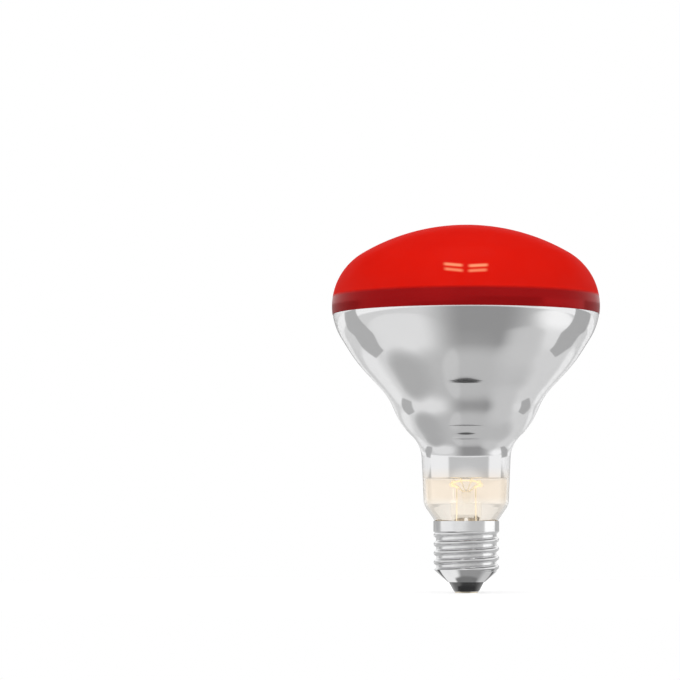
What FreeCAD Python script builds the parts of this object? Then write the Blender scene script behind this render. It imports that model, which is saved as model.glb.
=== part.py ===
import FreeCAD, Part
import math
import os

# An infrared reflector lamp on a screw cap, in millimetres. Z is the axis of the lamp,
# z = 0 is the face of the centre contact, and the red front points up.

# Glass bulb: the outline runs from the crown over the shoulder, down the reflector's flank,
# through the waist and the second bulge to the neck, and in to the seal inside the cap.
# Depths are measured down from the dome's widest line, and the neck makes up the rest.
lamp_length = 148.0
crown_radius = 82.0
shoulder_radius = 24.5
dome_radius = 53.9
flank_inset = 9.9
flank_depth = 22.8
flank_bend = 62.0
waist_radius = 31.3
waist_depth = 36.3
waist_bend = 28.0
bulge_radius = 26.2
bulge_depth = 48.0
bulge_bend = 30.0
neck_top_radius = 18.1
neck_top_depth = 56.1
neck_top_bend = 12.0
neck_end_radius = 17.0
neck_end_height = 35.2
neck_end_bend = 1.6
seal_radius = 11.2
seal_cone_height = 26.6
seal_bend = 2.0
seal_height = 21.0
glass_wall = 1.0

# Coatings: red lacquer outside the dome, aluminium film inside the reflector.
lacquer_thickness = 0.12
lacquer_edge_depth = 3.4
film_thickness = 0.12
film_top_rise = 3.9
film_neck_length = 13.2

# Screw shell: rolled sheet with a plain collar, a right-hand round thread and a conical end.
cap_height = 28.8
collar_radius = 13.2
collar_height = 4.2
collar_slope_height = 1.2
thread_crest_radius = 13.15
thread_root_radius = 12.15
thread_pitch = 3.629
thread_crest_height = 10.4
thread_crest_rounding = 1.0
thread_root_flat = 0.4
thread_foot_sink = 0.06
shell_wall = 0.25
shell_end_height = 4.35
shell_end_radius = 7.4
shell_cone_height = 5.05

# Insulator, contact and solder at the tip of the cap.
contact_radius = 4.7
contact_thickness = 0.5
contact_edge_rounding = 0.2
contact_hole_radius = 1.2
insulator_tip_radius = 5.0
insulator_tip_rounding = 0.4
insulator_depth = 3.2
wire_hole_clearance = 0.15
cement_depth = 0.6
solder_radius = 1.2
wire_end_cover = 0.15

# Stem: flared tube pinched flat round the wires, with its exhaust tube and support rod.
flare_tube_radius = 5.2
flare_wall = 0.9
flare_bend = 5.0
flare_top_height = 28.0
pinch_height = 31.5
pinch_top_height = 36.0
pinch_half_width = 6.2
pinch_half_thickness = 2.3
exhaust_radius = 1.5
exhaust_bore_radius = 0.8
exhaust_length = 13.5
exhaust_tip_length = 1.6
exhaust_port_height = 1.4
rod_radius = 1.4
rod_height = 3.4
button_radius = 2.0

# Filament ring with its supports and leads. The ring leans, so that its open side is lower.
filament_height = 43.6
filament_ring_radius = 6.0
filament_lean = 15.0
filament_radius = 0.55
filament_bend = 1.5
filament_end_length = 1.0
support_count = 6
support_wire_radius = 0.15
hook_clearance = 0.12
lead_wire_radius = 0.25
lead_spread = 3.8
lead_bend = 1.2
lead_straight_above_pinch = 2.5
centre_lead_turn_height = 11.0
centre_lead_turn_length = 2.6
shell_lead_drop = 3.0
shell_lead_wall_gap = 0.05
shell_lead_step = 0.2


def at(radius, height):
    return FreeCAD.Vector(radius, 0, height)


def rounded_corner(before, corner, after, radius):
    """Start, middle, end and centre of the arc that rounds a corner, held to half of each run."""
    back = (before - corner).normalize()
    ahead = (after - corner).normalize()
    half_angle = back.getAngle(ahead) / 2
    room = 0.5 * min((before - corner).Length, (after - corner).Length)
    reach = min(radius / math.tan(half_angle), room)
    arc_radius = reach * math.tan(half_angle)
    centre = corner + (back + ahead).normalize() * (arc_radius / math.sin(half_angle))
    middle = centre + (corner - centre).normalize() * arc_radius
    return corner + back * reach, middle, corner + ahead * reach, centre


def left_of(start, end):
    """Unit normal on the left of a run in the XZ plane."""
    along = (end - start).normalize()
    return at(-along.z, along.x)


def arc_run(points, centre, first_normal):
    """An arc as points with their normals, all on the side that the first normal shows."""
    side = math.copysign(1, first_normal.dot(points[0] - centre))
    return [(point, (point - centre).normalize() * side) for point in points]


def rounded_chain(corners, radii):
    """Straight runs and tangent arcs along a chain of corners, each with its left normals."""
    runs = []
    start = corners[0]
    for before, corner, after, radius in zip(corners, corners[1:], corners[2:], radii):
        *arc, centre = rounded_corner(before, corner, after, radius)
        normal = left_of(before, corner)
        runs.append([(start, normal), (arc[0], normal)])
        runs.append(arc_run(arc, centre, normal))
        start = arc[-1]
    normal = left_of(start, corners[-1])
    runs.append([(start, normal), (corners[-1], normal)])
    return runs


def offset_edges(runs, gap):
    """Edges of a chain moved to its left by a gap."""
    edges = []
    for run in runs:
        points = [point + normal * gap for point, normal in run]
        if len(points) == 3:
            edges.append(Part.Arc(*points).toShape())
        elif points[0].distanceToPoint(points[1]) > Part.Precision.confusion():
            edges.append(Part.makeLine(*points))
    return edges


def chain_end(runs, gap):
    point, normal = runs[-1][-1]
    return point + normal * gap


def chain_start(runs, gap):
    point, normal = runs[0][0]
    return point + normal * gap


def turned(edges):
    """Solid of revolution about Z from the edges of a closed section."""
    wire = Part.Wire(Part.__sortEdges__(edges))
    return Part.Face(wire).revolve(FreeCAD.Vector(), FreeCAD.Vector(0, 0, 1), 360)


def turned_wall(runs, near, far):
    """Revolved wall between two offsets of one chain."""
    edges = offset_edges(runs, near) + offset_edges(runs, far)
    edges.append(Part.makeLine(chain_start(runs, near), chain_start(runs, far)))
    edges.append(Part.makeLine(chain_end(runs, near), chain_end(runs, far)))
    return turned(edges)


def turned_polygon(*points):
    corners = list(points)
    return turned([Part.makeLine(a, b) for a, b in zip(corners, corners[1:] + corners[:1])])


def turned_body(runs, gap):
    """Filled body of revolution whose chain starts on the axis."""
    end = chain_end(runs, gap)
    foot = at(0, end.z)
    edges = offset_edges(runs, gap)
    edges.append(Part.makeLine(end, foot))
    edges.append(Part.makeLine(foot, chain_start(runs, gap)))
    return turned(edges)


def round_wire(points, bend, radius):
    """Solid wire along straight runs with tangent bends."""
    edges = []
    start = points[0]
    for before, corner, after in zip(points, points[1:], points[2:]):
        first, middle, last, centre = rounded_corner(before, corner, after, bend)
        edges.append(Part.makeLine(start, first))
        edges.append(Part.Arc(first, middle, last).toShape())
        start = last
    edges.append(Part.makeLine(start, points[-1]))
    section = Part.Wire(Part.makeCircle(radius, points[0], points[1] - points[0]))
    return Part.Wire(edges).makePipeShell([section], True, False)


def between_heights(shape, low, high):
    """The part of a shape between two heights."""
    slab = Part.makeCylinder(2 * dome_radius, high - low, at(0, low))
    return shape.common(slab)


def direction(angle):
    return at(math.cos(angle), math.sin(angle))


def arc_points(centre, radius, first, last):
    return [centre + direction(angle) * radius for angle in (first, (first + last) / 2, last)]


def crown_centre():
    return at(0, lamp_length - lacquer_thickness - crown_radius)


def shoulder_centre():
    """Centre of the shoulder's arc, which touches the crown's arc from inside."""
    offset = dome_radius - shoulder_radius
    rise = math.sqrt((crown_radius - shoulder_radius) ** 2 - offset**2)
    return crown_centre() + at(offset, rise)


def below_dome(radius, depth):
    """A point of the outline at a depth below the dome's widest line."""
    return at(radius, shoulder_centre().z - depth)


def bulb_outline():
    """Outside of the glass from the crown to the seal, with normals that point outward."""
    to_shoulder = shoulder_centre() - crown_centre()
    crown_end = math.atan2(to_shoulder.z, to_shoulder.x)
    crown = arc_points(crown_centre(), crown_radius, math.pi / 2, crown_end)

    flank = below_dome(dome_radius - flank_inset, flank_depth)
    to_flank = flank - shoulder_centre()
    shoulder_end = math.atan2(to_flank.z, to_flank.x) + math.acos(shoulder_radius / to_flank.Length)
    shoulder = arc_points(shoulder_centre(), shoulder_radius, crown_end, shoulder_end)

    corners = [
        shoulder[-1],
        flank,
        below_dome(waist_radius, waist_depth),
        below_dome(bulge_radius, bulge_depth),
        below_dome(neck_top_radius, neck_top_depth),
        at(neck_end_radius, neck_end_height),
        at(seal_radius, seal_cone_height),
        at(seal_radius, seal_height),
    ]
    bends = [flank_bend, waist_bend, bulge_bend, neck_top_bend, neck_end_bend, seal_bend]
    runs = [
        arc_run(crown, crown_centre(), at(0, 1)),
        arc_run(shoulder, shoulder_centre(), direction(crown_end)),
    ]
    return runs + rounded_chain(corners, bends)


def lacquer(outline):
    wall = turned_wall(outline, 0, lacquer_thickness)
    return between_heights(wall, shoulder_centre().z - lacquer_edge_depth, lamp_length)


def mirror_film(outline):
    wall = turned_wall(outline, -glass_wall, -glass_wall - film_thickness)
    dome_line = shoulder_centre().z
    return between_heights(wall, dome_line - neck_top_depth - film_neck_length, dome_line + film_top_rise)


def thread_ridge(inset):
    """Helical ridge with a round crest and hollow feet, set in from the outside of the sheet."""
    crest = at(thread_crest_radius - thread_crest_rounding, 0)
    sunk_root = thread_root_radius - thread_foot_sink
    half_width = (thread_pitch - thread_root_flat) / 2
    drop = crest.x - sunk_root
    spare = drop**2 + half_width**2 - thread_crest_rounding**2
    foot_rounding = spare / (2 * (thread_crest_rounding + drop))
    foot = at(sunk_root + foot_rounding, -half_width)
    rounding = foot_rounding + inset
    meeting = foot + (crest - foot).normalize() * rounding
    bottom = foot - at(rounding, 0)
    hollow = foot + (meeting + bottom - foot * 2).normalize() * rounding
    buried = bottom - at(shell_wall, 0)
    lower = [buried, bottom, hollow, meeting]
    upper = [at(point.x, -point.z) for point in lower]
    section = Part.Wire(
        [
            Part.makeLine(lower[0], lower[1]),
            Part.Arc(*lower[1:]).toShape(),
            Part.Arc(lower[3], at(thread_crest_radius - inset, 0), upper[3]).toShape(),
            Part.Arc(*reversed(upper[1:])).toShape(),
            Part.makeLine(upper[1], upper[0]),
            Part.makeLine(upper[0], lower[0]),
        ]
    )
    low, high = thread_reach()
    helix = Part.makeHelix(thread_pitch, high - low, crest.x)
    ridge = Part.Wire(helix.Edges).makePipeShell([section], True, True)
    ridge.translate(at(0, low))
    return ridge


def thread_reach():
    """Heights of the helix's ends, past the shell's end below and inside the collar above."""
    turns_below = math.ceil((thread_crest_height - shell_end_height) / thread_pitch)
    low = thread_crest_height - turns_below * thread_pitch
    return low, cap_height


def shell_body(inset):
    """Solid inside one face of the shell's sheet: collar, thread and conical end."""
    root = thread_root_radius - inset
    collar = collar_radius - inset
    collar_foot = cap_height - collar_height
    slope_foot = collar_foot - collar_slope_height
    low, high = thread_reach()
    trunk = Part.makeCylinder(root, high - low + 2 * thread_pitch, at(0, low - thread_pitch))
    end = cone_radius(shell_end_height) - inset * math.hypot(1, cone_growth())
    cone_top = shell_end_height + 2 * shell_cone_height
    wide = end + cone_growth() * 2 * shell_cone_height
    envelope = turned_polygon(
        at(0, shell_end_height),
        at(end, shell_end_height),
        at(wide, cone_top),
        at(wide, collar_foot),
        at(0, collar_foot),
    )
    threaded = trunk.fuse(thread_ridge(inset)).common(envelope)
    collar_body = turned_polygon(
        at(0, slope_foot),
        at(root, slope_foot),
        at(collar, collar_foot),
        at(collar, cap_height),
        at(0, cap_height),
    )
    return threaded.fuse(collar_body)


def cone_growth():
    """Gain of the conical end's radius for each millimetre of height."""
    return (thread_crest_radius - shell_end_radius) / shell_cone_height


def cone_radius(height):
    """Outside radius of the shell's conical end."""
    return shell_end_radius + cone_growth() * (height - shell_end_height)


def cone_inner_radius(height):
    return cone_radius(height) - shell_wall * math.hypot(1, cone_growth())


def base_insulator():
    hole = lead_wire_radius + wire_hole_clearance
    top = shell_end_height + insulator_depth
    corners = [
        at(hole, contact_thickness),
        at(insulator_tip_radius, contact_thickness),
        at(cone_inner_radius(shell_end_height), shell_end_height),
    ]
    edges = offset_edges(rounded_chain(corners, [insulator_tip_rounding]), 0)
    rest = [corners[-1], at(cone_inner_radius(top), top), at(hole, top), corners[0]]
    edges += [Part.makeLine(a, b) for a, b in zip(rest, rest[1:])]
    return turned(edges)


def centre_contact():
    disc = Part.makeCylinder(contact_radius, contact_thickness)
    edge = [e for e in disc.Edges if e.BoundBox.ZMax < contact_thickness / 2]
    disc = disc.makeFillet(contact_edge_rounding, edge)
    return disc.cut(Part.makeCylinder(contact_hole_radius, contact_thickness))


def basing_cement(glass_body, shell_lead):
    ledge = cap_height - collar_height
    top = cap_height - cement_depth
    ring = Part.makeCylinder(collar_radius - shell_wall, top - ledge, at(0, ledge))
    return ring.cut(glass_body).cut(shell_lead)


def stem_flare(leads):
    corners = [
        at(seal_radius, seal_height),
        at(flare_tube_radius, seal_height),
        at(flare_tube_radius, flare_top_height),
    ]
    flare = turned_wall(rounded_chain(corners, [flare_bend]), 0, flare_wall)
    tube_end = Part.Wire(Part.makeCircle(flare_tube_radius, at(0, flare_top_height)))
    oval = Part.Ellipse(at(0, 0), pinch_half_width, pinch_half_thickness).toShape()
    foot = Part.Wire(oval.translated(at(0, pinch_height)))
    squeeze = Part.makeLoft([tube_end, foot], True)
    pinch = Part.Face(foot).extrude(at(0, pinch_top_height - pinch_height))
    port = Part.makeCylinder(exhaust_bore_radius, exhaust_port_height, at(0, flare_top_height))
    side_port = Part.makeCylinder(
        exhaust_bore_radius,
        2 * flare_tube_radius,
        FreeCAD.Vector(0, -flare_tube_radius, flare_top_height + exhaust_port_height),
        FreeCAD.Vector(0, 1, 0),
    )
    stem = flare.fuse([squeeze, pinch]).removeSplitter()
    return stem.cut([port, side_port] + leads)


def exhaust_tube():
    tip = flare_top_height - exhaust_length
    closed = tip + exhaust_tip_length
    return turned_polygon(
        at(exhaust_bore_radius, flare_top_height),
        at(exhaust_radius, flare_top_height),
        at(exhaust_radius, closed),
        at(exhaust_bore_radius, tip),
        at(0, tip),
        at(0, closed),
        at(exhaust_bore_radius, closed + exhaust_tip_length),
    )


def button_height():
    return pinch_top_height + rod_height


def support_rod(supports):
    rod = Part.makeCylinder(rod_radius, rod_height, at(0, pinch_top_height))
    button = Part.makeSphere(button_radius, at(0, button_height()))
    return rod.fuse(button).removeSplitter().cut(supports)


def ring_corners():
    """Corners of the leaning filament ring: a lead at each end and the supports between."""
    half_gap = math.asin(lead_spread / filament_ring_radius)
    step = 2 * (math.pi - half_gap) / (support_count + 1)
    slope = math.tan(math.radians(filament_lean))
    corners = []
    for index in range(support_count + 2):
        angle = half_gap - math.pi / 2 + step * index
        across = FreeCAD.Vector(math.cos(angle), math.sin(angle), slope * math.sin(angle))
        corners.append(at(0, filament_height) + across * filament_ring_radius)
    return corners


def filament_route(corners):
    """The ring's corners with both ends drawn out past the leads."""
    first = corners[0] + (corners[0] - corners[1]).normalize() * filament_end_length
    last = corners[-1] + (corners[-1] - corners[-2]).normalize() * filament_end_length
    return [first] + corners[1:-1] + [last]


def support_wire(before, corner, after):
    """Wire from the button to a loop round the filament at one of its corners."""
    loop_radius = filament_radius + hook_clearance + support_wire_radius
    start, middle, end, centre = rounded_corner(before, corner, after, filament_bend)
    loop = Part.makeTorus(loop_radius, support_wire_radius, middle, end - start)
    outward = FreeCAD.Vector(corner.x, corner.y, 0).normalize()
    root = at(0, button_height()) + (outward + at(0, 1)) * (button_radius / 2)
    reach = middle - root
    arm_length = reach.Length - loop_radius
    arm = Part.makeCylinder(support_wire_radius, arm_length, root, reach)
    return arm.fuse(loop).removeSplitter()


def lead_wires(coil, corners):
    """The centre lead and the shell lead, each from its end of the filament to the cap."""
    bend_height = pinch_top_height + lead_straight_above_pinch
    drop = seal_height - flare_wall - shell_lead_drop
    wall_gap = shell_wall + lead_wire_radius + shell_lead_wall_gap
    root_depth = math.sqrt((thread_root_radius - wall_gap) ** 2 - lead_spread**2)
    collar_depth = math.sqrt((collar_radius - wall_gap) ** 2 - lead_spread**2)
    collar_foot = cap_height - collar_height
    step_low = collar_foot - collar_slope_height + shell_lead_step
    step_high = collar_foot + shell_lead_step
    centre_route = [
        corners[-1],
        at(-lead_spread, bend_height),
        at(-lead_spread, centre_lead_turn_height + centre_lead_turn_length),
        at(0, centre_lead_turn_height),
        at(0, wire_end_cover),
    ]
    shell_route = [
        corners[0],
        at(lead_spread, bend_height),
        at(lead_spread, drop),
        FreeCAD.Vector(lead_spread, root_depth, drop),
        FreeCAD.Vector(lead_spread, root_depth, step_low),
        FreeCAD.Vector(lead_spread, collar_depth, step_high),
        FreeCAD.Vector(lead_spread, collar_depth, cap_height - cement_depth),
    ]
    routes = (centre_route, shell_route)
    return [round_wire(route, lead_bend, lead_wire_radius).cut(coil) for route in routes]


def side_solder(glass_body, shell, cement, shell_lead):
    """Drop of solder on the collar's rim at the shell lead, clear of the collar's outside."""
    wall_middle = collar_radius - shell_wall / 2
    lead_depth = math.sqrt(wall_middle**2 - lead_spread**2)
    drop = Part.makeSphere(solder_radius, FreeCAD.Vector(lead_spread, lead_depth, cap_height))
    outside = Part.makeCylinder(collar_radius + 2 * solder_radius, cap_height)
    outside = outside.cut(Part.makeCylinder(collar_radius, cap_height))
    return drop.cut([glass_body, shell, cement, shell_lead, outside])


def build():
    outline = bulb_outline()
    glass_body = turned_body(outline, 0)
    corners = ring_corners()
    route = filament_route(corners)
    coil = round_wire(route, filament_bend, filament_radius)
    supports = [support_wire(*run) for run in zip(route, route[1:], route[2:])]
    centre_lead, shell_lead = lead_wires(coil, corners)
    shell = shell_body(0).cut(shell_body(shell_wall))
    cement = basing_cement(glass_body, shell_lead)
    centre_plug = Part.makeCylinder(contact_hole_radius, contact_thickness)

    parts = {
        "glass_bulb": turned_wall(outline, 0, -glass_wall),
        "red_coating": lacquer(outline),
        "mirror_coating": mirror_film(outline),
        "filament": coil,
        "lead_wire_centre": centre_lead,
        "lead_wire_shell": shell_lead,
        "stem_flare": stem_flare([centre_lead, shell_lead]),
        "exhaust_tube": exhaust_tube(),
        "support_rod": support_rod(supports),
        "screw_shell": shell,
        "basing_cement": cement,
        "base_insulator": base_insulator(),
        "centre_contact": centre_contact(),
        "centre_solder": centre_plug.cut(centre_lead),
        "side_solder": side_solder(glass_body, shell, cement, shell_lead),
    }
    for index, support in enumerate(supports, 1):
        parts[f"support_wire_{index}"] = support
    return parts


os.makedirs("parts", exist_ok=True)
for name, shape in build().items():
    shape.exportStep(f"parts/{name}.step")
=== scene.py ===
import math

import bpy
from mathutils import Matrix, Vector


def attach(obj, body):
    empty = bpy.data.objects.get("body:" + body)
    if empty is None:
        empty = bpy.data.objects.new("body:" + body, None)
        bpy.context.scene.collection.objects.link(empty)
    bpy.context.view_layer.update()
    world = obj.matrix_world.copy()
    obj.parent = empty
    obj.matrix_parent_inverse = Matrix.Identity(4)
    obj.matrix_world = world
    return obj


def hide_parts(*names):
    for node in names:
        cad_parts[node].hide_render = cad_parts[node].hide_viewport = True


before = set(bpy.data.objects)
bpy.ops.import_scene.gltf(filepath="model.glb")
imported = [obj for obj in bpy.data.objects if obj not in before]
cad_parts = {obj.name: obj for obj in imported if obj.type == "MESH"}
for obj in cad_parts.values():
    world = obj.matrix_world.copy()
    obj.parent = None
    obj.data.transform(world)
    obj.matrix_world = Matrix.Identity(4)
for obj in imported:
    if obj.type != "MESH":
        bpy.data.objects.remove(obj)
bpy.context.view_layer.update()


# Screw shell: the cap's body, drawn from thin aluminium sheet and rolled with a round thread.
# It is bright metal with fine lines round it from the rolling tool, and it is cemented to the neck.
class Tone:
    """A socket of a node tree. Sums of tones add Math nodes, and node() adds any other node."""

    def __init__(self, tree, socket=None):
        self.tree = tree
        self.socket = socket

    def node(self, kind, settings, sockets, output=0):
        made = self.tree.nodes.new(kind)
        for name, value in settings.items():
            setattr(made, name, value)
        for name, value in sockets.items():
            if isinstance(value, Tone):
                self.tree.links.new(value.socket, made.inputs[name])
            else:
                made.inputs[name].default_value = value
        return Tone(self.tree, made.outputs[output] if made.outputs else None)

    def maths(self, operation, first, second):
        return self.node("ShaderNodeMath", {"operation": operation}, {0: first, 1: second})

    def __add__(self, other):
        return self.maths("ADD", self, other)

    def __radd__(self, other):
        return self.maths("ADD", other, self)

    def __sub__(self, other):
        return self.maths("SUBTRACT", self, other)

    def __rsub__(self, other):
        return self.maths("SUBTRACT", other, self)

    def __mul__(self, other):
        return self.maths("MULTIPLY", self, other)

    def __rmul__(self, other):
        return self.maths("MULTIPLY", other, self)

    def between(self, low, high):
        """0 below low, 1 above high, smooth between."""
        settings = {"interpolation_type": "SMOOTHSTEP"}
        sockets = {"Value": self, "From Min": low, "From Max": high}
        return self.node("ShaderNodeMapRange", settings, sockets)

    def blend(self, first, second):
        """First colour at 0, second colour at 1."""
        a, b = (colour if isinstance(colour, Tone) else (*colour, 1.0) for colour in (first, second))
        return self.node("ShaderNodeMix", {"data_type": "RGBA"}, {0: self, 6: a, 7: b}, 2)

    def place(self):
        return self.node("ShaderNodeTexCoord", {}, {}, "Object")

    def along(self, axis):
        return self.node("ShaderNodeSeparateXYZ", {}, {"Vector": self.place()}, axis)

    def from_origin(self):
        return self.node("ShaderNodeVectorMath", {"operation": "LENGTH"}, {0: self.place()}, "Value")

    def grain(self, per_metre, detail=3.0):
        """Noise with a number of lumps for each metre along X, Y and Z."""
        stretched = self.node(
            "ShaderNodeVectorMath", {"operation": "MULTIPLY"}, {0: self.place(), 1: per_metre}
        )
        sockets = {"Vector": stretched, "Scale": 1.0, "Detail": detail}
        return self.node("ShaderNodeTexNoise", {}, sockets, "Fac")

    def relief(self, lumps, depth, strength):
        sockets = {"Height": lumps, "Distance": depth, "Strength": strength}
        return self.node("ShaderNodeBump", {}, sockets)

    def finish(self, sockets):
        shader = self.node("ShaderNodeBsdfPrincipled", {}, sockets)
        self.node("ShaderNodeOutputMaterial", {}, {"Surface": shader})


def new_finish(name):
    """An empty material and the tone that its nodes start from."""
    material = bpy.data.materials.new(name)
    material.use_nodes = True
    material.node_tree.nodes.clear()
    return material, Tone(material.node_tree)


def dress(node, material):
    """Gives a piece that keeps its solid the finish of the real one."""
    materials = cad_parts[node].data.materials
    materials.clear()
    materials.append(material)


rolled_aluminium, tone = new_finish("rolled_aluminium")
roll_lines = tone.grain((150.0, 150.0, 7000.0))
handling = tone.grain((260.0, 260.0, 260.0))
tone.finish(
    {
        "Base Color": handling.blend((0.80, 0.80, 0.81), (0.90, 0.90, 0.90)),
        "Metallic": 1.0,
        "Roughness": 0.07 + 0.08 * roll_lines,
        "Normal": tone.relief(roll_lines, 0.00002, 0.20),
    }
)
dress("screw_shell", rolled_aluminium)


# Base insulator: a cone of black glass, poured into the end of the shell while molten.
# It keeps a fire-polished skin with slight flow waves and carries the centre contact.
black_glass, tone = new_finish("black_glass")
flow = tone.grain((400.0, 400.0, 700.0))
tone.finish(
    {
        "Base Color": flow.blend((0.010, 0.010, 0.011), (0.024, 0.023, 0.024)),
        "Roughness": 0.10 + 0.10 * flow,
        "Specular IOR Level": 0.8,
        "Coat Weight": 1.0,
        "Coat Roughness": 0.05,
        "Normal": tone.relief(flow, 0.00005, 0.3),
    }
)
dress("base_insulator", black_glass)


# Centre contact: a stamped brass eyelet with a tinned face, pressed on the insulator's tip.
# The sockets that it was turned in have left fine scratches on it.
contact_brass, tone = new_finish("contact_brass")
scratches = tone.grain((3500.0, 3500.0, 900.0))
tone.finish(
    {
        "Base Color": scratches.blend((0.60, 0.52, 0.38), (0.78, 0.72, 0.60)),
        "Metallic": 1.0,
        "Roughness": 0.22 + 0.18 * scratches,
        "Normal": tone.relief(scratches, 0.00002, 0.3),
    }
)
dress("centre_contact", contact_brass)


# Solder: a plug of tin in the eyelet and a drop on the collar's rim, where the leads end.
# The tin froze with a dull, finely wrinkled skin.
tin_solder, tone = new_finish("tin_solder")
wrinkles = tone.grain((2200.0, 2200.0, 2200.0))
tone.finish(
    {
        "Base Color": wrinkles.blend((0.46, 0.46, 0.47), (0.70, 0.70, 0.70)),
        "Metallic": 1.0,
        "Roughness": 0.26 + 0.22 * wrinkles,
        "Normal": tone.relief(wrinkles, 0.00008, 0.4),
    }
)
dress("centre_solder", tin_solder)
dress("side_solder", tin_solder)


# Basing cement: a ring of marble flour and resin, baked hard between the neck and the collar.
# It is chalky and tan, with darker grains in it, and a painted glow in its emission stands in for
# the lit coil's light that reaches it through the glass.
baked_cement, tone = new_finish("baked_cement")
grains = tone.grain((1500.0, 1500.0, 1500.0), 6.0)
tone.finish(
    {
        "Base Color": grains.blend((0.60, 0.52, 0.41), (0.84, 0.78, 0.68)),
        "Roughness": 0.75 + 0.20 * grains,
        "Normal": tone.relief(grains, 0.00015, 0.6),
        # Painted light: a faint glow for the lit coil's light on the cement.
        "Emission Color": grains.blend((0.16, 0.13, 0.09), (0.24, 0.20, 0.15)),
        "Emission Strength": 1.0,
    }
)
dress("basing_cement", baked_cement)


# Stem: a flared glass tube pinched flat round the wires, with the exhaust tube under it and a
# glass rod with a button on it. It is clear lead glass, a little wavy from the gas flame, and a
# painted glow in its emission stands in for the lit coil's light in it.
stem_glass, tone = new_finish("stem_glass")
waves = tone.grain((300.0, 300.0, 300.0))
tone.finish(
    {
        "Base Color": waves.blend((0.99, 0.98, 0.95), (1.0, 0.99, 0.97)),
        "Roughness": 0.05 + 0.08 * waves,
        "Transmission Weight": 0.88,
        "IOR": 1.07,
        # Painted light: a faint glow for the lit coil's light in the stem.
        "Emission Color": waves.blend((0.060, 0.054, 0.046), (0.080, 0.073, 0.062)),
        "Emission Strength": 1.0,
    }
)
for node in ("stem_flare", "exhaust_tube", "support_rod"):
    dress(node, stem_glass)


# Leads and supports: drawn nickel wire, sealed in the stem's pinch and in the rod's button.
# Near the coil the wires have a painted straw tint and a painted glow that stand in for the coil's
# light on them, and they show lines from the drawing die.
# Painted light: inside this band of heights the wire's colour and emission stand in for the coil's
# light.
coil_lit_zone = (0.034, 0.044)
nickel_wire, tone = new_finish("nickel_wire")
die_lines = tone.grain((5000.0, 5000.0, 400.0))
in_coil_light = tone.along("Z").between(*coil_lit_zone)
plain_nickel = die_lines.blend((0.74, 0.70, 0.62), (0.86, 0.82, 0.74))
coil_lit_nickel = die_lines.blend((0.88, 0.78, 0.58), (0.96, 0.88, 0.70))
tone.finish(
    {
        "Base Color": in_coil_light.blend(plain_nickel, coil_lit_nickel),
        "Metallic": 1.0,
        "Roughness": 0.24 + 0.16 * die_lines,
        # Painted light: the glow of the coil-lit part of the wires.
        "Emission Color": in_coil_light.blend((0.42, 0.36, 0.26), (0.58, 0.50, 0.34)),
        "Emission Strength": 1.0,
    }
)
for node in ("lead_wire_centre", "lead_wire_shell"):
    dress(node, nickel_wire)
for number in range(1, 7):
    dress(f"support_wire_{number}", nickel_wire)


# Filament: tungsten wire wound into a fine coil and hung in a ring between the two leads,
# over six hooks. It glows straw-yellow, a little brighter and duller along its length.
ring_height = 0.0436
ring_radius = 0.006
ring_lean = math.radians(15.0)
ring_bend = 0.0015
ring_tail = 0.001
lead_spread = 0.0038
hook_count = 6
coil_radius = 0.00030
coil_pitch = 0.00046
tungsten_radius = 0.00009
path_step = 0.0002
points_per_turn = 14
wire_sides = 6


def rounded_corner(before, corner, after, radius):
    """Start, end and centre of the arc that rounds a corner, held to half of each run."""
    back = (before - corner).normalized()
    ahead = (after - corner).normalized()
    half_angle = back.angle(ahead) / 2
    room = 0.5 * min((before - corner).length, (after - corner).length)
    reach = min(radius / math.tan(half_angle), room)
    centre = corner + (back + ahead).normalized() * (reach / math.cos(half_angle))
    return corner + back * reach, corner + ahead * reach, centre


def arc_points(start, end, centre, step):
    """Points along the shorter arc from start to end."""
    first = start - centre
    turn = first.angle(end - centre)
    side = first.cross(end - centre).normalized()
    count = max(2, math.ceil(turn * first.length / step))
    across = side.cross(first)
    angles = [turn * index / count for index in range(count + 1)]
    return [centre + first * math.cos(a) + across * math.sin(a) for a in angles]


def ring_path(step):
    """Centreline of the filament: straight runs from hook to hook with rounded corners."""
    half_gap = math.asin(lead_spread / ring_radius)
    turn = 2 * (math.pi - half_gap) / (hook_count + 1)
    corners = []
    for index in range(hook_count + 2):
        angle = half_gap - math.pi / 2 + turn * index
        across = Vector((math.cos(angle), math.sin(angle), math.tan(ring_lean) * math.sin(angle)))
        corners.append(Vector((0.0, 0.0, ring_height)) + across * ring_radius)
    corners[0] += (corners[0] - corners[1]).normalized() * ring_tail
    corners[-1] += (corners[-1] - corners[-2]).normalized() * ring_tail
    path = [corners[0]]
    for before, corner, after in zip(corners, corners[1:], corners[2:]):
        start, end, centre = rounded_corner(before, corner, after, ring_bend)
        path += arc_points(start, end, centre, step)
    return path + [corners[-1]]


def coil_along(path):
    """Points of a helix wound round a path."""
    points = []
    travelled = 0.0
    step = coil_pitch / points_per_turn
    up = Vector((0.0, 0.0, 1.0))
    for start, end in zip(path, path[1:]):
        run = (end - start).length
        along = (end - start).normalized()
        outward = along.cross(up).normalized()
        while travelled < run:
            angle = 2 * math.pi * len(points) * step / coil_pitch
            offset = outward * math.cos(angle) + outward.cross(along) * math.sin(angle)
            points.append(start + along * travelled + offset * coil_radius)
            travelled += step
        travelled -= run
    return points


def new_piece(name, vertices, faces, material, sharp=40.0):
    mesh = bpy.data.meshes.new(name)
    mesh.from_pydata(vertices, [], faces)
    mesh.polygons.foreach_set("use_smooth", [True] * len(mesh.polygons))
    mesh.set_sharp_from_angle(angle=math.radians(sharp))
    mesh.materials.append(material)
    piece = bpy.data.objects.new(name, mesh)
    bpy.context.scene.collection.objects.link(piece)
    return piece


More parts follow.
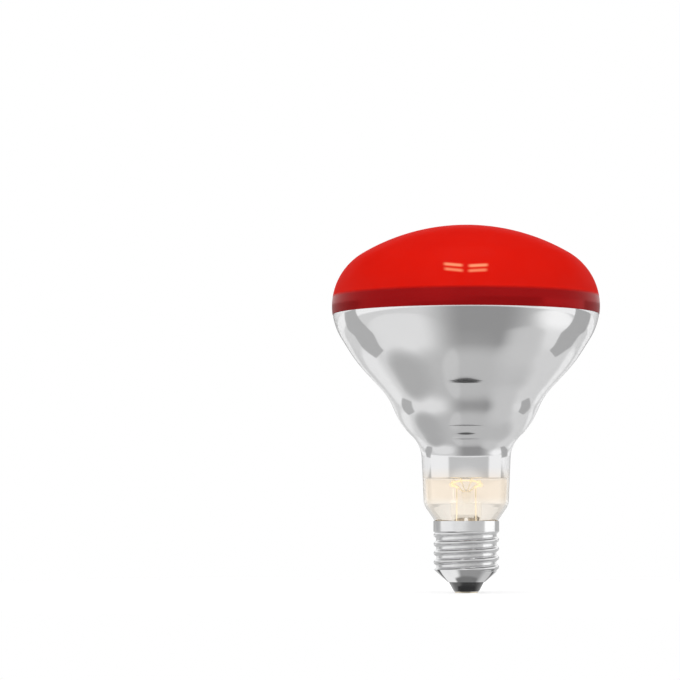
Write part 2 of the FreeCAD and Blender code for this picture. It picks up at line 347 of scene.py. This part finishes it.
def wire_mesh(points, radius, sides):
    """Vertices and faces of a round wire along closely spaced points, closed at both ends."""
    vertices, faces = [], []
    across = Vector((0.0, 0.0, 1.0))
    for before, point, after in zip([points[0]] + points, points, points[1:] + [points[-1]]):
        along = (after - before).normalized()
        across = (across - along * across.dot(along)).normalized()
        third = along.cross(across)
        for index in range(sides):
            angle = 2 * math.pi * index / sides
            vertices.append(point + (across * math.cos(angle) + third * math.sin(angle)) * radius)
    for ring in range(len(points) - 1):
        for index in range(sides):
            low, high = ring * sides + index, ring * sides + (index + 1) % sides
            faces.append((low, high, high + sides, low + sides))
    faces.append(tuple(reversed(range(sides))))
    faces.append(tuple(range(len(vertices) - sides, len(vertices))))
    return vertices, faces


glowing_tungsten, tone = new_finish("glowing_tungsten")
heat = tone.grain((240.0, 240.0, 240.0), 2.0).between(0.25, 0.75)
tone.finish(
    {
        "Base Color": heat.blend((0.20, 0.19, 0.18), (0.28, 0.27, 0.26)),
        "Metallic": 1.0,
        "Roughness": 0.45 + 0.1 * heat,
        "Emission Color": heat.blend((1.0, 0.80, 0.46), (1.0, 0.90, 0.62)),
        "Emission Strength": 1.15,
    }
)
coil_wire = wire_mesh(coil_along(ring_path(path_step)), tungsten_radius, wire_sides)
coil = new_piece("filament_coil", *coil_wire, glowing_tungsten)
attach(coil, "root")
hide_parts("filament")


# Glass bulb: one shell of borosilicate blown into a mould, with a low crown, a round shoulder,
# a reflector flank, a waist, a second bulge and a neck. The neck is clear, with a painted cream
# tint that stands in for the lit coil's light in it.
lamp_top = 0.14788
crown_radius = 0.082
shoulder_radius = 0.0245
dome_radius = 0.0539
shoulder_offset = dome_radius - shoulder_radius
crown_centre = Vector((0.0, 0.0, lamp_top - crown_radius))
shoulder_rise = math.sqrt((crown_radius - shoulder_radius) ** 2 - shoulder_offset**2)
shoulder_centre = crown_centre + Vector((shoulder_offset, 0.0, shoulder_rise))
dome_line = shoulder_centre.z
flank_inset, flank_depth, flank_bend = 0.0099, 0.0228, 0.062
waist_radius, waist_depth, waist_bend = 0.0313, 0.0363, 0.028
bulge_radius, bulge_depth, bulge_bend = 0.0262, 0.048, 0.030
neck_top_radius, neck_top_depth, neck_top_bend = 0.0181, 0.0561, 0.012
neck_end_radius, neck_end_height, neck_end_bend = 0.017, 0.0352, 0.0045
seal_radius, seal_cone_height, seal_bend, seal_height = 0.0112, 0.0266, 0.002, 0.021
glass_wall = 0.001
outline_step = 0.0009
steps_per_radius = 6
past_end = 0.001
film_drop = 0.0132
film_foot = dome_line - neck_top_depth - film_drop


def at(radius, height):
    return Vector((radius, 0.0, height))


def bulb_outline():
    """Points on the outside of the glass from the crown to the seal, each with its normal."""
    crown_end = crown_centre + (shoulder_centre - crown_centre).normalized() * crown_radius
    flank = at(dome_radius - flank_inset, dome_line - flank_depth)
    to_flank = flank - shoulder_centre
    lean = math.atan2(to_flank.z, to_flank.x) + math.acos(shoulder_radius / to_flank.length)
    shoulder_end = shoulder_centre + at(math.cos(lean), math.sin(lean)) * shoulder_radius
    corners = [
        shoulder_end,
        flank,
        at(waist_radius, dome_line - waist_depth),
        at(bulge_radius, dome_line - bulge_depth),
        at(neck_top_radius, dome_line - neck_top_depth),
        at(neck_end_radius, neck_end_height),
        at(seal_radius, seal_cone_height),
        at(seal_radius, seal_height),
    ]
    bends = [flank_bend, waist_bend, bulge_bend, neck_top_bend, neck_end_bend, seal_bend]
    line = [(p, (p - crown_centre).normalized()) for p in
            arc_points(at(0.0, lamp_top), crown_end, crown_centre, outline_step)]
    line += [(p, (p - shoulder_centre).normalized()) for p in
             arc_points(crown_end, shoulder_end, shoulder_centre, outline_step)[1:]]
    last = shoulder_end
    for before, corner, after, bend in zip(corners, corners[1:], corners[2:], bends):
        start, end, centre = rounded_corner(before, corner, after, bend)
        along = (corner - before).normalized()
        normal = at(-along.z, along.x)
        count = max(1, math.ceil((start - last).length / outline_step))
        line += [(last.lerp(start, index / count), normal) for index in range(1, count)]
        side = math.copysign(1.0, normal.dot(start - centre))
        step = min(outline_step, (start - centre).length / steps_per_radius)
        line += [(p, (p - centre).normalized() * side) for p in arc_points(start, end, centre, step)]
        last = end
    foot = corners[-1]
    along = (foot - last).normalized()
    normal = at(-along.z, along.x)
    count = math.ceil((foot - last).length / outline_step)
    return line + [(last.lerp(foot, index / count), normal) for index in range(1, count + 1)]


def outline_at(gap, low, high):
    """The outline moved outward by a gap and cut level at two heights."""
    moved = [point + normal * gap for point, normal in bulb_outline()]
    moved[0].x = 0.0
    kept = []
    for before, point in zip([moved[0]] + moved, moved):
        for level in (high, low):
            if (before.z - level) * (point.z - level) < 0.0:
                kept.append(before.lerp(point, (level - before.z) / (point.z - before.z)))
        if low <= point.z <= high:
            kept.append(point)
    return kept


def turned_shell(name, outside, inside, material, around=256, on_axis=1e-6):
    """A thin closed shell turned about Z between two outlines that run the same way."""
    loop = outside + inside[::-1]
    vertices, rings, faces = [], [], []
    for point in loop:
        count = around if point.x > on_axis else 1
        rings.append([len(vertices) + index for index in range(count)])
        for index in range(count):
            angle = 2 * math.pi * index / around
            vertices.append((point.x * math.cos(angle), point.x * math.sin(angle), point.z))
    for upper, lower in zip(rings, rings[1:] + rings[:1]):
        for index in range(around):
            corners = [ring[(index + shift) % len(ring)] for ring, shift in
                       ((upper, 0), (lower, 0), (lower, 1), (upper, 1))]
            corners = list(dict.fromkeys(corners))
            if len(corners) > 2:
                faces.append(tuple(corners))
    return new_piece(name, vertices, faces, material)


film_edge = (film_foot - 0.001, film_foot + 0.001)
# Painted light: the cream tint of the clear neck stands in for the lit coil's glow in it.
glow_tint_zone = (neck_end_height - 0.001, neck_end_height + 0.004)
blown_glass, tone = new_finish("blown_glass")
clear_neck = 1.0 - tone.along("Z").between(*film_edge)
ripple = tone.grain((45.0, 45.0, 25.0), 1.0)
glow_cream = ripple.blend((0.965, 0.900, 0.815), (0.975, 0.915, 0.840))
pale_glow_cream = ripple.blend((0.995, 0.960, 0.910), (1.0, 0.970, 0.925))
coil_glow_tint = tone.along("Z").between(*glow_tint_zone).blend(pale_glow_cream, glow_cream)
tone.finish(
    {
        "Base Color": clear_neck.blend((0.99, 0.99, 0.99), coil_glow_tint),
        "Roughness": 0.01 + 0.01 * ripple,
        "Transmission Weight": 1.0,
        "IOR": 1.47,
        "Normal": tone.relief(ripple, 0.0004, 0.06),
    }
)
whole = (seal_height - past_end, lamp_top + past_end)
bulb = turned_shell(
    "bulb_glass",
    outline_at(0.0, *whole),
    outline_at(-glass_wall, *whole),
    blown_glass,
)
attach(bulb, "root")
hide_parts("glass_bulb")


# Mirror film: aluminium boiled off inside the bulb, which settled on the reflector's wall from
# the shoulder to the neck. It is a bright mirror with faint clouds, warmer at its lower edge.
film_top = dome_line + 0.0039
film_thickness = 0.00012
film_grip = 0.00002
warm_zone = (film_foot, film_foot + 0.005)

aluminium_film, tone = new_finish("aluminium_film")
clouds = tone.grain((30.0, 30.0, 22.0), 2.0)
bright_film = clouds.blend((0.84, 0.84, 0.85), (0.90, 0.90, 0.90))
warm_film = clouds.blend((0.90, 0.85, 0.80), (0.93, 0.89, 0.84))
tone.finish(
    {
        "Base Color": tone.along("Z").between(*warm_zone).blend(warm_film, bright_film),
        "Metallic": 1.0,
        "Roughness": 0.02 + 0.03 * clouds,
    }
)
reach = (film_foot, film_top)
film = turned_shell(
    "reflector_film",
    outline_at(film_grip - glass_wall, *reach),
    outline_at(-glass_wall - film_thickness, *reach)[:-1],
    aluminium_film,
)
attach(film, "root")
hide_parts("mirror_coating")


# Red lacquer: the dome was dipped in a heat-proof red lacquer down to just below its widest line.
# It is glossy and lets some light through, and over the film's edge it turns a deeper red. On its
# front a few strokes of light are painted into its emission: a painted reflection of the lit coil,
# thrown forward by the reflector.
lacquer_edge = dome_line - 0.0034
lacquer_thickness = 0.00012
lacquer_gap = 0.00002
film_end = (film_top - 0.0008, film_top + 0.0008)
stroke_half = 0.0010
stroke_fade = (-0.02, 0.0)
# Painted reflection: the strokes stand in for the lit coil's image and stay on the dome's front.
painted_coil_strokes = (
    ((-0.0082, 0.1282), (-0.0014, 0.1275), 0.50),
    ((-0.0080, 0.1262), (-0.0012, 0.1254), 0.38),
    ((0.0014, 0.1273), (0.0084, 0.1277), 0.52),
    ((0.0012, 0.1253), (0.0081, 0.1257), 0.36),
)


def painted_stroke(across, rise, start, end):
    """1 along a stroke between two points, each across and up, soft at its sides and ends."""
    run = (end[0] - start[0], end[1] - start[1])
    length = math.hypot(*run)
    from_start = (across - start[0], rise - start[1])
    ahead = (from_start[0] * run[0] + from_start[1] * run[1]) * (1.0 / length)
    beside = (from_start[0] * run[1] - from_start[1] * run[0]) * (1.0 / length)
    beside = beside.maths("ABSOLUTE", beside, 0.0)
    begun = ahead.between(-stroke_half, stroke_half)
    ended = ahead.between(length - stroke_half, length + stroke_half)
    return begun * (1.0 - ended) * (1.0 - beside.between(0.0, stroke_half))


red_lacquer, tone = new_finish("red_lacquer")
over_film = 1.0 - tone.along("Z").between(*film_end)
flow_marks = tone.grain((60.0, 60.0, 60.0), 2.0)
open_red = flow_marks.blend((0.86, 0.010, 0.004), (0.92, 0.014, 0.006))
deep_red = flow_marks.blend((0.30, 0.005, 0.006), (0.36, 0.007, 0.008))
painted_coil_glow = 0.0
for start, end, weight in painted_coil_strokes:
    painted_coil_glow = painted_coil_glow + weight * painted_stroke(tone.along("X"), tone.along("Z"), start, end)
painted_coil_glow = painted_coil_glow * (1.0 - tone.along("Y").between(*stroke_fade))
tone.finish(
    {
        "Base Color": over_film.blend(open_red, deep_red),
        "Metallic": 0.45 * over_film,
        "Roughness": 0.10 + 0.06 * flow_marks,
        "Specular IOR Level": 0.0,
        "Coat Weight": 0.06,
        "Alpha": 0.80 + 0.20 * over_film,
        # Painted reflection of the coil, laid into the lacquer's emission.
        "Emission Color": painted_coil_glow.blend((0.0, 0.0, 0.0), (0.62, 0.72, 0.36)),
        "Emission Strength": 1.0,
    }
)
reach = (lacquer_edge, lamp_top + past_end)
lacquer = turned_shell(
    "red_lacquer_dome",
    outline_at(lacquer_thickness, *reach),
    outline_at(lacquer_gap, *reach),
    red_lacquer,
)
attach(lacquer, "root")
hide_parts("red_coating")


# Stage: a white floor that keeps the lamp's soft shadow and fades into a white room, with soft
# lamps above and at both sides. Bright metal sees the room with a grey ceiling.
def stage_piece(name, corners, faces, material):
    mesh = bpy.data.meshes.new(name)
    mesh.from_pydata(corners, [], faces)
    mesh.materials.append(material)
    piece = bpy.data.objects.new(name, mesh)
    bpy.context.scene.collection.objects.link(piece)
    return piece


def square(half, height):
    return [(-half, -half, height), (half, -half, height), (half, half, height), (-half, half, height)]


floor_half = 0.4
floor_grey = 0.82
floor_lift = 0.48
floor_fade = (0.10, 0.30)
white_floor, tone = new_finish("white_floor")
matt = tone.node(
    "ShaderNodeBsdfPrincipled",
    {},
    {
        "Base Color": (floor_grey, floor_grey, floor_grey, 1.0),
        "Roughness": 0.9,
        "Specular IOR Level": 0.0,
        "Emission Color": tone.node("ShaderNodeLightPath", {}, {}, "Is Camera Ray") * floor_lift,
        "Emission Strength": 1.0,
    },
)
gone = tone.node("ShaderNodeBsdfTransparent", {}, {})
far = tone.from_origin().between(*floor_fade)
faded = tone.node("ShaderNodeMixShader", {}, {0: far, 1: matt, 2: gone})
tone.node("ShaderNodeOutputMaterial", {}, {"Surface": faded})
floor = stage_piece("floor", square(floor_half, 0.0), [(0, 1, 2, 3)], white_floor)
floor.visible_glossy = False
floor.visible_transmission = False

room_level = 0.60
ceiling_shade = 0.80
ceiling_rise = (0.30, 0.60)
room = bpy.data.worlds.new("white_room")
bpy.context.scene.world = room
room.use_nodes = True
room.node_tree.nodes.clear()
tone = Tone(room.node_tree)
seen, mirrored, through = (
    tone.node("ShaderNodeLightPath", {}, {}, kind)
    for kind in ("Is Camera Ray", "Is Glossy Ray", "Is Transmission Ray")
)
direct = tone.maths("MAXIMUM", tone.maths("MAXIMUM", seen, mirrored), through)
heading = tone.node("ShaderNodeTexCoord", {}, {}, "Generated")
ceiling = tone.node("ShaderNodeSeparateXYZ", {}, {"Vector": heading}, "Z").between(*ceiling_rise)
level = (room_level + (1.0 - room_level) * direct) * (1.0 - ceiling_shade * ceiling * mirrored)
sky = tone.node("ShaderNodeBackground", {}, {"Color": level})
tone.node("ShaderNodeOutputWorld", {}, {"Surface": sky})

lamp_aim = Vector((0.0, 0.0, 0.07))


def soft_lamp(name, place, size, watts):
    data = bpy.data.lights.new(name, "AREA")
    data.shape = "DISK"
    data.size = size
    data.energy = watts
    lamp = bpy.data.objects.new(name, data)
    lamp.location = place
    lamp.rotation_mode = "QUATERNION"
    lamp.rotation_quaternion = (lamp_aim - lamp.location).to_track_quat("-Z", "Y")
    lamp.visible_glossy = False
    bpy.context.scene.collection.objects.link(lamp)


soft_lamp("lamp_left", Vector((-0.7, -1.1, 0.6)), 0.7, 4.0)
soft_lamp("lamp_right", Vector((0.8, -1.0, 0.5)), 0.7, 3.0)
soft_lamp("lamp_above", Vector((0.0, 0.1, 1.4)), 0.9, 3.0)


# Studio papers: a table of glowing greys with two dark wedges on it, and a backdrop all round it,
# set so that the mirror shows soft greys. Under and round the lamp the table also carries painted
# shadow of the lamp and bright painted patches that put highlights on the cap. The camera and
# matt surfaces don't see them.
table_half, table_height = 2.5, -0.001
wedge_height = -0.0005
backdrop_distance, backdrop_height, backdrop_step = 1.7, 0.25, 4


def mirror_card(name, corners, faces, material):
    piece = stage_piece(name, corners, faces, material)
    piece.visible_camera = False
    piece.visible_diffuse = False
    piece.visible_shadow = False
    return piece


def glowing(tone, grey):
    """Ends a material as paper of an even or changing grey that needs no light."""
    glow = tone.node("ShaderNodeEmission", {}, {"Color": grey})
    tone.node("ShaderNodeOutputMaterial", {}, {"Surface": glow})


def laid_over(level, fields):
    """A grey with fields laid over it in turn: each is a mask and the grey inside it."""
    for mask, inside in fields:
        level = mask * inside + (1.0 - mask) * level
    return level


def turn_of(tone):
    """Degrees round the lamp's axis from its front, to the right."""
    return tone.maths("ARCTAN2", tone.along("X"), 0.0 - tone.along("Y")) * math.degrees(1.0)


table_paper, tone = new_finish("table_paper")
across, deep, turn, from_axis = tone.along("X"), tone.along("Y"), turn_of(tone), tone.from_origin()


def oval(centre, reach, soft):
    """1 inside an oval on the table, 0 outside, with a soft edge."""
    x = (across - centre[0]) * (1.0 / reach[0])
    y = (deep - centre[1]) * (1.0 / reach[1])
    return 1.0 - (x * x + y * y).between(1.0 - soft, 1.0 + soft)


dark_fan = turn.between(-44.0, -2.0) * (1.0 - turn.between(31.0, 83.0))
far_fan = turn.between(-52.0, -42.0) * (1.0 - turn.between(58.0, 68.0))
# Painted shadow: dark rings round the axis and a dark slot in front, where the lamp's own shadow and
# dark base would lie on the table. Painted light: bright fields under the tip for the cap's
# highlights.
shadow_under_thread = 1.0 - from_axis.between(0.0235, 0.026)
under_shell = 1.0 - from_axis.between(0.0178, 0.0195)
shell_end = 1.0 - from_axis.between(0.0086, 0.0096)
glow_under_tip = 1.0 - from_axis.between(0.0056, 0.0062)
slot_near, slot_bow, slot_swell = 0.043, 7.0, 2.0
slot_back = deep - slot_bow * across * across + slot_near
slot_front = slot_back - slot_swell * across * across
shadow_slot = slot_front.between(-0.0025, -0.0020) * (1.0 - slot_back.between(-0.0002, 0.0002))
table_grey = 0.72
table_level = laid_over(
    table_grey,
    [
        (oval((-0.145, 0.165), (0.06, 0.10), 0.6), 0.90),
        (oval((0.165, 0.265), (0.06, 0.10), 0.6), 0.95),
        (oval((-0.20, -0.09), (0.14, 0.12), 0.5), 0.82),
        (oval((0.37, -0.03), (0.20, 0.14), 0.6), 1.02),
        (dark_fan, 0.32),
        (from_axis.between(0.50, 0.60), 0.98),
        (far_fan * from_axis.between(0.50, 0.60), 0.86),
        (far_fan * from_axis.between(0.62, 0.74), 0.60),
        # Painted shadow: a grey disc under the lamp, where its shadow falls.
        (oval((0.0, 0.0), (0.092, 0.092), 0.5), 0.54),
        (oval((-0.082, 0.004), (0.046, 0.044), 0.95), 0.46),
        (oval((-0.022, -0.055), (0.012, 0.028), 0.7), 0.61),
        (oval((0.100, -0.045), (0.050, 0.040), 0.95), 0.62),
        # Painted shadow and painted light round the cap, seen in its metal.
        (shadow_slot, 0.06),
        (shadow_under_thread, 0.08),
        (under_shell, 0.33),
        (under_shell * (1.0 - turn.between(-40.0, -18.0)), 0.93),
        (under_shell * turn.between(50.0, 85.0), 0.62),
        (shell_end * turn.between(-64.0, -46.0) * (1.0 - turn.between(46.0, 64.0)), 0.20),
        (glow_under_tip * (1.0 - turn.between(-46.0, -34.0)), 1.4),
        (glow_under_tip * turn.between(20.0, 30.0), 2.4),
    ],
)
glowing(tone, table_level)
mirror_card("table_card", square(table_half, table_height), [(0, 1, 2, 3)], table_paper)


def wedge(name, grey, corners):
    material, tone = new_finish(name)
    outline = [(x, y, wedge_height) for x, y in corners]
    glowing(tone, (grey, grey, grey, 1.0))
    mirror_card(name, outline, [tuple(range(len(outline)))], material)


wedge(
    "wedge_left",
    0.48,
    [
        (-0.145, 0.016),
        (-0.26, 0.047),
        (-0.70, 0.232),
        (-1.4, 0.50),
        (-1.4, 1.15),
        (-0.30, 0.275),
        (-0.15, 0.073),
    ],
)
wedge(
    "wedge_right",
    0.45,
    [
        (0.148, 0.022),
        (0.265, 0.070),
        (0.63, 0.205),
        (1.4, 0.48),
        (1.4, 1.6),
        (0.30, 0.335),
        (0.19, 0.126),
        (0.15, 0.07),
    ],
)

backdrop_paper, tone = new_finish("backdrop_paper")
turn = turn_of(tone)
backdrop_grey = 0.93
backdrop_level = laid_over(
    backdrop_grey,
    [
        (1.0 - turn.between(-107.0, -96.0), 0.46),
        (turn.between(-15.0, 22.0), 0.62),
        (turn.between(65.0, 71.0), 1.25),
        (turn.between(116.0, 123.0), 0.48),
    ],
)
glowing(tone, backdrop_level)
angles = [math.radians(angle) for angle in range(0, 360, backdrop_step)]
posts = [(backdrop_distance * math.sin(a), -backdrop_distance * math.cos(a)) for a in angles]
corners = [(x, y, height) for height in (0.0, backdrop_height) for x, y in posts]
count = len(posts)
faces = []
for spot in range(count):
    beside = (spot + 1) % count
    faces.append((spot, beside, beside + count, spot + count))
backdrop = mirror_card("backdrop", corners, faces, backdrop_paper)
backdrop.visible_transmission = False


# Camera: a long lens near the floor, level with the foot of the neck. It aims left of the lamp's
# axis, at the height of the reflector's flank.
camera_aim = Vector((-0.0508, 0.0, 0.1018))
camera_data = bpy.data.cameras.new("camera")
camera_data.sensor_width = 36.0
camera_data.lens = 153.64
camera_data.clip_start = 0.01
camera = bpy.data.objects.new("camera", camera_data)
camera.location = (0.0, -1.17, 0.030)
camera.rotation_mode = "QUATERNION"
camera.rotation_quaternion = (camera_aim - camera.location).to_track_quat("-Z", "Y")
bpy.context.scene.collection.objects.link(camera)
bpy.context.scene.camera = camera

bpy.context.scene.view_settings.view_transform = "Standard"
